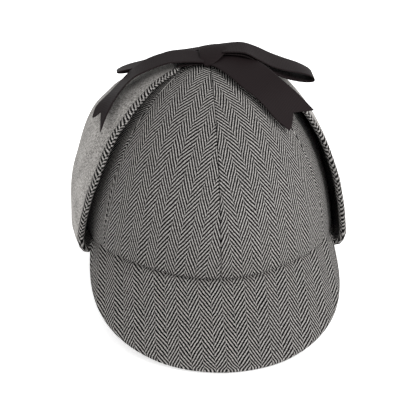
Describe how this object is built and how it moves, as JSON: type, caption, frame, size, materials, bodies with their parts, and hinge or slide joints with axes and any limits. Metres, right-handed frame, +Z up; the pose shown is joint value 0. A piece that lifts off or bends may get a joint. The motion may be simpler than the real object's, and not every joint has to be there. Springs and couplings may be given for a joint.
{
  "type": "deerstalker hat",
  "caption": "Herringbone tweed deerstalker hat with a peak front and back, ear flaps folded up over a panelled crown and a ribbon bow tied on top.",
  "frame": {"origin": "on the surface that the hat rests on, under the middle of its bounding box", "axes": "+Z up, -Y towards the front peak, +X towards the wearer's left"},
  "size_m": [0.1882, 0.3118, 0.1647],
  "materials": {
    "tweed": "woven wool herringbone, matt",
    "brushed_wool": "plain brushed wool, matt",
    "ribbon": "ribbed grosgrain ribbon, soft sheen"
  },
  "bodies": {
    "root": {"crown_panel_front_left": "tweed", "crown_panel_side_left": "tweed", "crown_panel_back_left": "tweed", "crown_panel_back_right": "tweed", "crown_panel_side_right": "tweed", "crown_panel_front_right": "tweed", "front_peak": "tweed", "back_peak": "tweed", "ear_flap_left": "brushed_wool", "ear_flap_right": "brushed_wool", "bow_knot": "ribbon", "ribbon_tie_left": "ribbon", "ribbon_tie_right": "ribbon", "bow_loop_left": "ribbon", "bow_loop_right": "ribbon", "bow_tail_left": "ribbon", "bow_tail_right": "ribbon"}
  },
  "joints": []
}
